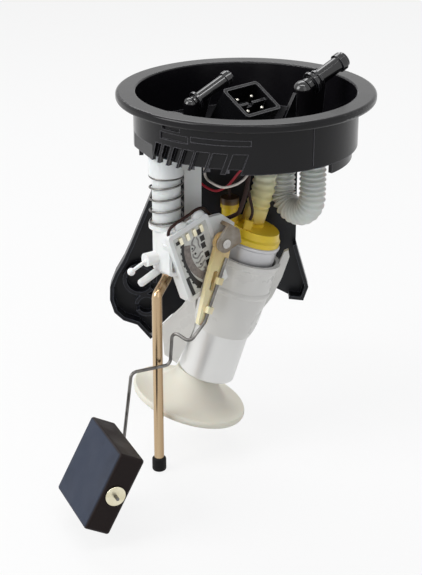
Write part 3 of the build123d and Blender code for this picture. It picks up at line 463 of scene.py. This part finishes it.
def corrugated(path, crest, root, pitch, cuffs):
    """Radius along a path: rings of a pitch, plain over the cuffs' lengths at both ends."""
    crest_sharpness, cuff_share = 1.3, 0.97
    length = sum((b - a).length for a, b in zip(path, path[1:]))
    count = round((length - cuffs[0] - cuffs[1]) / pitch)
    radii = []
    for i in range(len(path)):
        along = length * i / (len(path) - 1)
        share = (along - cuffs[0]) / (length - cuffs[0] - cuffs[1])
        if 0 <= share <= 1:
            wave = 0.5 - 0.5 * cos(2 * pi * count * share)
            radii.append(root + (crest - root) * wave ** crest_sharpness)
        else:
            radii.append(crest * cuff_share)
    return radii


def points_mm(*points):
    """Points given in millimetres, in metres."""
    return [Vector(p) * MM for p in points]


# Hoses
hose_bore = 5.05 * MM
hose_step = 0.4 * MM

outlet_x, outlet_y, outlet_bend = 12.0, 3.0, 50 * MM
hose_foot = Vector((4.907, outlet_y, -76.182))
hose_knee = hose_foot + pump_up * ((outlet_x - hose_foot.x) / pump_up.x)
hose_end = Vector((outlet_x, outlet_y, -31.0))
path = resampled(filleted(points_mm(hose_foot, hose_knee, hose_end), outlet_bend, MM), hose_step)
radii = corrugated(path, crest=7.2 * MM, root=6.3 * MM, pitch=4.4 * MM, cuffs=(9 * MM, 1 * MM))
outlet = tube("outlet_hose_rings", path, radii, hose_amber, "flange", around=36, bore=hose_bore)
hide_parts("outlet_hose")

loop_from, loop_to = Vector((39.5, -4.0, 0)), Vector((22.5, 15.0, 0))
loop_from_z, loop_to_z, bend_z, bend_steps = -31, -27, -59, 48
middle = (loop_from + loop_to) / 2
across = (loop_to - loop_from) / 2
route = [loop_from + Vector((0, 0, loop_from_z))]
for i in range(bend_steps + 1):
    turn = pi * i / bend_steps
    route.append(middle - across * cos(turn)
                 + Vector((0, 0, bend_z - across.length * sin(turn))))
route.append(loop_to + Vector((0, 0, loop_to_z)))
path = resampled(points_mm(*route), hose_step)
radii = corrugated(path, crest=8 * MM, root=6.2 * MM, pitch=3.0 * MM, cuffs=(1 * MM, 1 * MM))
loop = tube("return_hose_rings", path, radii, hose_pale, "flange", around=40, bore=hose_bore)
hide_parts("return_hose")

# Rolled rim at the top of the pump's can
rim_r, rim_half_wide, rim_half_high, rim_drop = 17.4, 0.9, 1.2, 1.3
rim_steps, rim_round = 72, 12
rim_points, rim_faces = [], []
for i in range(rim_steps):
    turn = 2 * pi * i / rim_steps
    way = pump_right * cos(turn) + Vector((0, sin(turn), 0))
    for k in range(rim_round):
        roll = 2 * pi * k / rim_round
        rim_points.append((can_top + way * (rim_r + rim_half_wide * cos(roll))
                           + pump_up * (rim_half_high * sin(roll) - rim_drop)) * MM)
for i in range(rim_steps):
    a, b = i * rim_round, (i + 1) % rim_steps * rim_round
    for k in range(rim_round):
        rim_faces.append((a + k, b + k, b + (k + 1) % rim_round, a + (k + 1) % rim_round))
piece("can_rim", rim_points, rim_faces, can_steel, "flange")

# Sender spring round the guide, with flat end turns
spring_low, spring_high, spring_r, wire_r = -67.0, -38.0, 9.6, 0.6
turns, turn_steps, flat_share = 5.0, 40, 0.1
coil = []
steps = int(turns * turn_steps)
for i in range(steps + 1):
    share = i / steps
    turn = 2 * pi * turns * share
    ease = min(max((share - flat_share) / (1 - 2 * flat_share), 0), 1)
    rise = spring_low + wire_r + (spring_high - spring_low - 2 * wire_r) * ease
    coil.append((guide + Vector((spring_r * cos(turn), spring_r * sin(turn), rise))) * MM)
radii = [wire_r * MM] * len(coil)
spring = tube("sender_spring_coil", coil, radii, steel_dark, "flange", around=10)
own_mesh(spring)
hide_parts("sender_spring")

# Valve spring in the pump's nozzle
nozzle_left, nozzle_back = 1.9, 3.0
nozzle_foot = can_top - pump_right * nozzle_left + Vector((0, nozzle_back, 0))
valve_low, valve_high, valve_r, valve_wire, valve_gap = 13.0, 22.0, 2.2, 0.25, 0.05
valve_turns, turn_steps = 5, 32
steps = valve_turns * turn_steps
valve_rise = valve_high - valve_low - 2 * valve_wire - 2 * valve_gap
coil = []
for i in range(steps + 1):
    turn = 2 * pi * i / turn_steps
    rise = valve_low + valve_wire + valve_gap + valve_rise * i / steps
    coil.append((nozzle_foot + pump_up * rise + pump_right * valve_r * cos(turn)
                 + Vector((0, valve_r * sin(turn), 0))) * MM)
radii = [valve_wire * MM] * len(coil)
valve_coil = tube("valve_spring_coil", coil, radii, steel_dark, "flange", around=8)
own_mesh(valve_coil)
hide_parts("valve_spring")


# Print on the sender's board
def on_face(along, up, depth):
    """Point from the sender's pivot, in the directions of its face."""
    return (pivot + board_way * along + out_way * depth + Vector((0, 0, up))) * MM


def on_board(x, y, lift):
    """Point of the board in its own turned frame, lifted off its face."""
    return on_face(board_x + x * cos(board_turn) - y * sin(board_turn),
                   board_y + x * sin(board_turn) + y * cos(board_turn), board_depth + lift)


def raised(name, outlines, spot, low, high, mat, body):
    """Flat topped patches, each a convex outline that spot(x, y, level) puts in place."""
    points, faces = [], []
    for shape in outlines:
        first = len(points)
        count = len(shape)
        for level in (low, high):
            points += [spot(x, y, level) for x, y in shape]
        faces.append(tuple(first + i for i in reversed(range(count))))
        faces.append(tuple(first + count + i for i in range(count)))
        for i in range(count):
            j = (i + 1) % count
            faces.append((first + i, first + j, first + count + j, first + count + i))
    return piece(name, points, faces, mat, body, smooth=False)


def printed(name, outlines, mat):
    """Thin print on the board, sunk a little into its face."""
    sunk, thick = -0.02, 0.12
    return raised(name, outlines, on_board, sunk, thick, mat, "sender")


def patch(x, y, width, height, turn=0.0):
    """Turned rectangle on the board."""
    c, s = cos(radians(turn)), sin(radians(turn))
    return [(x + c * u - s * v, y + s * u + c * v)
            for u, v in ((-width / 2, -height / 2), (width / 2, -height / 2),
                         (width / 2, height / 2), (-width / 2, height / 2))]


def strip(points, width):
    """Patches of one width along a bent line, each a little longer than its run."""
    runs = []
    for (x0, y0), (x1, y1) in zip(points, points[1:]):
        long = ((x1 - x0) ** 2 + (y1 - y0) ** 2) ** 0.5
        c, s = (x1 - x0) / long, (y1 - y0) / long
        over = width * 0.3
        runs.append([(x0 - c * over + s * width / 2, y0 - s * over - c * width / 2),
                     (x1 + c * over + s * width / 2, y1 + s * over - c * width / 2),
                     (x1 + c * over - s * width / 2, y1 + s * over + c * width / 2),
                     (x0 - c * over - s * width / 2, y0 - s * over + c * width / 2)])
    return runs


# The pivot in the board's frame: the printed teeth are round it
hub = (-board_x * cos(board_turn) - board_y * sin(board_turn),
       board_x * sin(board_turn) - board_y * cos(board_turn))


def round_hub(radius, degrees):
    """Point of the board at a radius and an angle round the pivot."""
    return (hub[0] + radius * cos(radians(degrees)), hub[1] + radius * sin(radians(degrees)))


square_wide, square_high = 3.0, 3.6
squares = ((5.7, 15.2), (6.4, 10.4), (5.7, 5.9), (6.2, -0.6), (5.5, -5.8))
printed("board_squares", [patch(*spot, square_wide, square_high) for spot in squares]
        + [patch(-9.5, 16.4, 2.6, 2.2), patch(-10.6, -13.4, 2.3, 12.6, 4)], ink_black)

# A row of teeth, which widens towards its end and has every third tooth longer
tooth_count, tooth_from, tooth_step, tooth_gap = 24, 153.0, 3.0, 0.02
tooth_inner, tooth_outer, tooth_extra = 24.6, 26.4, 0.7
even_teeth, widen_step, widen_inner, widen_outer = 13, 0.24, 0.7, 1.5
teeth = []
for i in range(tooth_count):
    near = tooth_from + tooth_gap + tooth_step * i
    far = tooth_from - tooth_gap + tooth_step * (i + 1)
    widening = max(0.0, i - even_teeth) * widen_step
    inner = tooth_inner + widening * widen_inner
    outer = tooth_outer + widening * widen_outer + (tooth_extra if i % 3 == 1 else 0)
    teeth.append([round_hub(inner, near), round_hub(outer, near),
                  round_hub(outer, far), round_hub(inner, far)])
printed("board_teeth", teeth, ink_black)

line_wide = 0.95
swirls = [[(1.6, 13.8), (-0.6, 12.0), (-1.4, 10.4), (-0.2, 9.2), (0.2, 7.6), (-1.2, 6.6),
           (-2.4, 6.4)],
          [(-2.6, 4.4), (-2.9, 3.0), (-2.0, 1.4), (-0.6, 0.6), (0.8, 1.2), (2.2, 2.4), (3.9, 2.6)],
          [(-2.4, -1.6), (-1.0, -2.4), (0.4, -2.0), (1.6, -0.8), (3.2, -0.2)],
          [(-1.8, -5.2), (-0.4, -6.0), (1.0, -5.4), (2.0, -4.0), (3.6, -3.4)],
          [(0.0, -8.9), (0.9, -9.6), (2.0, -9.2), (2.4, -8.0), (1.6, -7.2)],
          [(2.9, 13.0), (3.4, 10.6), (2.8, 8.2), (3.2, 5.8)]]
printed("board_lines", [run for line in swirls for run in strip(line, line_wide)], ink_silver)
printed("board_dots", [patch(-1.9, 8.0, 1.1, 1.1, 30), patch(-1.0, 4.0, 1.3, 1.3, 30),
                       patch(0.3, -4.1, 1.1, 1.1, 30), patch(3.0, -11.0, 2.0, 2.6, 20)], ink_black)

# Leads of the sender: red and white hang in arcs below the flange and meet in a dark sleeve,
# which runs along the top of its plate
lead_step = 0.6 * MM
sender_lead_r = 0.75 * MM
arcs = ((lead_red, ((-28.5, -8, -24), (-29.2, -8.2, -38), (-28.9, -8.5, -44.4),
                    (-26.0, -9.5, -49.0), (-17.9, -12.5, -52.6), (-11.1, -15.5, -49.0),
                    (-8.0, -18, -44.8), (-3.5, -20, -38.3), (0.4, -20.3, -36.0),
                    (1.6, -20, -40.5))),
        (lead_white, ((-23.0, -14, -24), (-23.8, -14.5, -36), (-23.2, -15, -43.1),
                      (-19.8, -19, -45.4), (-13.2, -22, -47.3), (-6.1, -22, -45.7),
                      (-1.8, -22, -43.0), (0.8, -20.6, -40.6), (1.5, -20, -43.0))))
for number, (mat, route) in enumerate(arcs):
    path = smooth_path(points_mm(*route), lead_step)
    radii = [sender_lead_r] * len(path)
    lead = tube("sender_lead_%d" % number, path, radii, mat, "flange", around=12)

sleeve_top = points_mm((1.7, -20, -39.5), (1.3, -20, -43.5), (0.5, -20, -48.3), (-1.0, -20, -54.9),
                       (-2.8, -20, -60.2), (-4.9, -19.6, -64.2))
over_plate = [on_face(*spot) for spot in
              ((10.0, 8.8, -10.5), (4.8, 9.6, -10.5), (-1.0, 13.6, -10.5), (-5.6, 18.4, -9.0),
               (-10.4, 20.8, -6.8), (-15.2, 20.6, -5.6), (-19.7, 18.9, -5.2), (-26.5, 16.4, -5.2),
               (-31.4, 14.2, -5.2), (-33.4, 11.6, -5.4), (-33.6, 8.0, -5.6))]
path = smooth_path(sleeve_top + over_plate, lead_step)
# The sleeve is thinner on the plate's left side
thin_r, thick_more, thin_until, thick_within = 0.9 * MM, 0.35 * MM, -22 * MM, 10 * MM
radii = [thin_r + thick_more * min(max((spot.x - thin_until) / thick_within, 0), 1)
         for spot in path]
sleeve = tube("sender_sleeve", path, radii, lead_dark, None, around=14)
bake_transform(sleeve)
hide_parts("sender_leads")


# Trim of the sender: two lumps on its plate and the round end of its peg
def lump(name, spot, reach):
    """Rounded lump moulded on the plate's top edge, squarish across."""
    points, faces, rings, around, squareness = [], [], 9, 20, 0.8
    for i in range(1, rings + 1):
        polar = pi * i / (rings + 1)
        for j in range(around):
            turn = 2 * pi * j / around
            way = (sin(polar) * cos(turn), sin(polar) * sin(turn), cos(polar))
            along, up, out = (reach[k] * abs(way[k]) ** squareness * (1 if way[k] > 0 else -1)
                              for k in range(3))
            points.append(on_face(spot[0] + along, spot[1] + up, spot[2] + out))
    front, back = len(points), len(points) + 1
    points += [on_face(spot[0], spot[1], spot[2] + side * reach[2]) for side in (1, -1)]
    for j in range(around):
        a, b = j, (j + 1) % around
        faces.append((front, b, a))
        for i in range(rings - 1):
            faces.append((a, b, b + around, a + around))
            a, b = a + around, b + around
        faces.append((a, b, back))
    return piece(name, points, faces, white_acetal, "sender")


lump("wire_lump_0", (-13.2, 17.0, -5.2), (4.4, 3.4, 1.9))
lump("wire_lump_1", (-25.4, 13.2, -5.2), (4.4, 2.8, 1.9))

peg_way = board_way * -0.92 - Vector((0, 0, 0.39))
peg_root = on_face(-27, -16, -21)
peg_r, peg_from, peg_step, peg_points = 2.3 * MM, 4 * MM, 0.3 * MM, 49
# The end narrows from round_from on, to almost nothing at the last point
round_from, round_over = 42, 6.05
path = [peg_root + peg_way * (peg_from + peg_step * i) for i in range(peg_points)]
radii = [peg_r * (1 - max(0, (i - round_from) / round_over) ** 2) ** 0.5
         for i in range(peg_points)]
tube("peg_sleeve", path, radii, white_acetal, "sender")


# Stiffening ribs on the back of the rear bracket
def on_back(x, z, level):
    """Point at a height above the bracket's back."""
    return Vector((x, bracket_back + level, z)) * MM


def hoop(x, z, radius):
    """Closed round line."""
    half = 12
    return [(x + radius * cos(pi * k / half), z + radius * sin(pi * k / half))
            for k in range(2 * half + 1)]


rib_wide, rib_sunk, rib_high = 1.6, -0.1, 2.2
back_runs = [[(-42, -33), (-51, -63), (-65, -98.5), (-75, -117), (-78.5, -126), (-78.5, -133),
              (-76, -140), (-72, -143.5), (-64.5, -146), (-57.5, -154), (-46.5, -142.5),
              (-39.5, -138.5), (-21.5, -123.8), (16, -121.8), (29, -128.8), (33.5, -129.3),
              (35.5, -124.5), (28, -98), (28, -33), (-42, -33)],
             [(-20, -33), (-20, -122.5)], [(4, -33), (4, -122)],
             [(-51, -63), (-20, -95), (4, -63), (28, -98)], [(-65, -98.5), (-20, -95)],
             [(-20, -122.5), (-57, -116)], hoop(-64, -121, 9), hoop(-60, -138, 6.2)]
ribs = raised("bracket_back_ribs", [run for line in back_runs for run in strip(line, rib_wide)],
              on_back, rib_sunk, rib_high, bracket_black, "flange")

# Leads of the pump
pump_lead_r = 0.9 * MM
pump_routes = (((-9.0, -2.0, -60.5), (-9.0, -2.2, -54.0), (-5.0, -5.0, -47.0),
                (1.0, -11.0, -40.0), (3.0, -13.0, -33.0), (3.0, -13.0, -24.0)),
               ((2.6, -10.0, -72.2), (4.2, -10.0, -66.5), (2.8, -12.2, -58.0),
                (0.6, -13.0, -46.0), (0.0, -13.0, -34.0), (0.0, -13.0, -24.0)))
for number, route in enumerate(pump_routes):
    path = smooth_path(points_mm(*route), lead_step)
    radii = [pump_lead_r] * len(path)
    lead = tube("pump_lead_%d" % number, path, radii, lead_dark, "flange", around=12)
    if number == 0:
        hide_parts("pump_leads")


# Fine raised lines on the skirt
def skirt_line(corners):
    """Points and faces of thin strips on the skirt between (degrees, height) corners."""
    wide, root_r, crest_r, cut_degrees = 0.5, skirt_r - 0.4, skirt_r + 0.25, 2
    points, faces = [], []
    for (turn0, z0), (turn1, z1) in zip(corners, corners[1:]):
        count = max(1, round(abs(turn1 - turn0) / cut_degrees))
        step = (0, wide / 2) if turn1 != turn0 else (wide / 2 / skirt_r, 0)
        rows = []
        for i in range(count + 1):
            t = i / count
            turn, z = radians(turn0 + (turn1 - turn0) * t), z0 + (z1 - z0) * t
            rows.append(len(points))
            for side, radius in ((-1, root_r), (-1, crest_r), (1, crest_r), (1, root_r)):
                way = turn + side * step[0]
                points.append(Vector((radius * sin(way), -radius * cos(way),
                                      z + side * step[1])) * MM)
        for a, b in zip(rows, rows[1:]):
            faces += [(a + k, a + (k + 1) % 4, b + (k + 1) % 4, b + k) for k in range(4)]
        faces += [tuple(rows[0] + k for k in (3, 2, 1, 0)), tuple(rows[-1] + k for k in range(4))]
    return points, faces


line_points, line_faces = [], []
for corners in (((-28.6, -6.6), (1.4, -6.6), (1.4, -9.6), (-28.6, -9.6), (-28.6, -6.6)),
                ((33.5, -0.5), (33.5, -24.0)), ((-38, -2.0), (1.4, -2.0))):
    points, faces = skirt_line(corners)
    line_faces += [tuple(k + len(line_points) for k in face) for face in faces]
    line_points += points
lines = piece("skirt_lines", line_points, line_faces, flange_black, "flange", smooth=False)


# Studio: pale floor and soft light
def seen_rays(tree):
    """1 for rays from the camera, off gloss or through clear matter: they see white around."""
    light_path = tree.nodes.new("ShaderNodeLightPath")
    found = light_path.outputs["Is Camera Ray"]
    for kind in ("Is Glossy Ray", "Is Transmission Ray"):
        most = tree.nodes.new("ShaderNodeMath")
        most.operation = "MAXIMUM"
        tree.links.new(found, most.inputs[0])
        tree.links.new(light_path.outputs[kind], most.inputs[1])
        found = most.outputs[0]
    return found


floor_grey, floor_glow, floor_size = 0.7, 0.84, 40
floor_z = cad_box[0][2]
bpy.ops.mesh.primitive_plane_add(size=floor_size, location=(0, 0, floor_z))
floor = bpy.context.object
floor.name = "floor"
paper = finish("paper", (floor_grey, floor_grey, floor_grey, 1), 0.9)
tree = paper.node_tree
glow = tree.nodes.new("ShaderNodeEmission")
glow.inputs["Strength"].default_value = 1.0
share = tree.nodes.new("ShaderNodeMath")
share.operation = "MULTIPLY"
share.inputs[1].default_value = floor_glow
tree.links.new(seen_rays(tree), share.inputs[0])
mixed = tree.nodes.new("ShaderNodeMixShader")
tree.links.new(share.outputs[0], mixed.inputs[0])
tree.links.new(tree.nodes["Principled BSDF"].outputs[0], mixed.inputs[1])
tree.links.new(glow.outputs[0], mixed.inputs[2])
tree.links.new(mixed.outputs[0], tree.nodes["Material Output"].inputs["Surface"])
floor.data.materials.append(paper)

sky_level, sky_top, sky_seen = (0.3, 0.304, 0.315, 1), (0.38, 0.385, 0.4, 1), (0.94, 0.94, 0.94, 1)
world = bpy.data.worlds.new("studio")
bpy.context.scene.world = world
world.use_nodes = True
sky = world.node_tree
sky_place = sky.nodes.new("ShaderNodeTexCoord")
sky_split = sky.nodes.new("ShaderNodeSeparateXYZ")
sky_ramp = sky.nodes.new("ShaderNodeValToRGB")
sky_ramp.color_ramp.elements[0].color = sky_level
sky_ramp.color_ramp.elements[1].color = sky_top
sky.links.new(sky_place.outputs["Generated"], sky_split.inputs["Vector"])
sky.links.new(sky_split.outputs["Z"], sky_ramp.inputs["Fac"])
sky_light = sky.nodes["Background"]
sky.links.new(sky_ramp.outputs["Color"], sky_light.inputs["Color"])
sky_light.inputs["Strength"].default_value = 1.0
sky_white = sky.nodes.new("ShaderNodeBackground")
sky_white.inputs["Color"].default_value = sky_seen
sky_mixed = sky.nodes.new("ShaderNodeMixShader")
sky.links.new(seen_rays(sky), sky_mixed.inputs[0])
sky.links.new(sky_light.outputs[0], sky_mixed.inputs[1])
sky.links.new(sky_white.outputs[0], sky_mixed.inputs[2])
sky.links.new(sky_mixed.outputs[0], sky.nodes["World Output"].inputs["Surface"])


def lamp(name, place, aim, size, watts):
    """Soft rectangular lamp that points at a place."""
    light = bpy.data.lights.new(name, "AREA")
    light.shape = "RECTANGLE"
    light.size, light.size_y = size
    light.energy = watts
    obj = bpy.data.objects.new(name, light)
    bpy.context.scene.collection.objects.link(obj)
    obj.location = place
    obj.rotation_euler = (Vector(aim) - Vector(place)).to_track_quat("-Z", "Y").to_euler()


lamp("key", (-0.95, -0.42, 0.62), aim=(0, 0, -0.08), size=(0.7, 0.7), watts=9.5)
lamp("fill", (0.5, -0.9, 0.45), aim=(0, 0, -0.08), size=(0.6, 0.9), watts=1.5)
lamp("back", (-0.15, 0.75, 0.85), aim=(0, 0, -0.02), size=(0.9, 0.5), watts=6)
lamp("top", (-0.05, -0.3, 0.95), aim=(0, 0, 0), size=(1.0, 0.14), watts=4)

# Camera at the photograph's viewing angle
look_down = radians(22.557)
camera = bpy.data.cameras.new("camera")
camera.sensor_fit = "VERTICAL"
camera.sensor_height = 36
camera.lens = 93.91
eye = bpy.data.objects.new("camera", camera)
bpy.context.scene.collection.objects.link(eye)
eye.location = (-0.02008, -0.8387, 0.22973)
eye.rotation_euler = (pi / 2 - look_down, 0, 0)
bpy.context.scene.camera = eye
bpy.context.scene.view_settings.view_transform = "Standard"
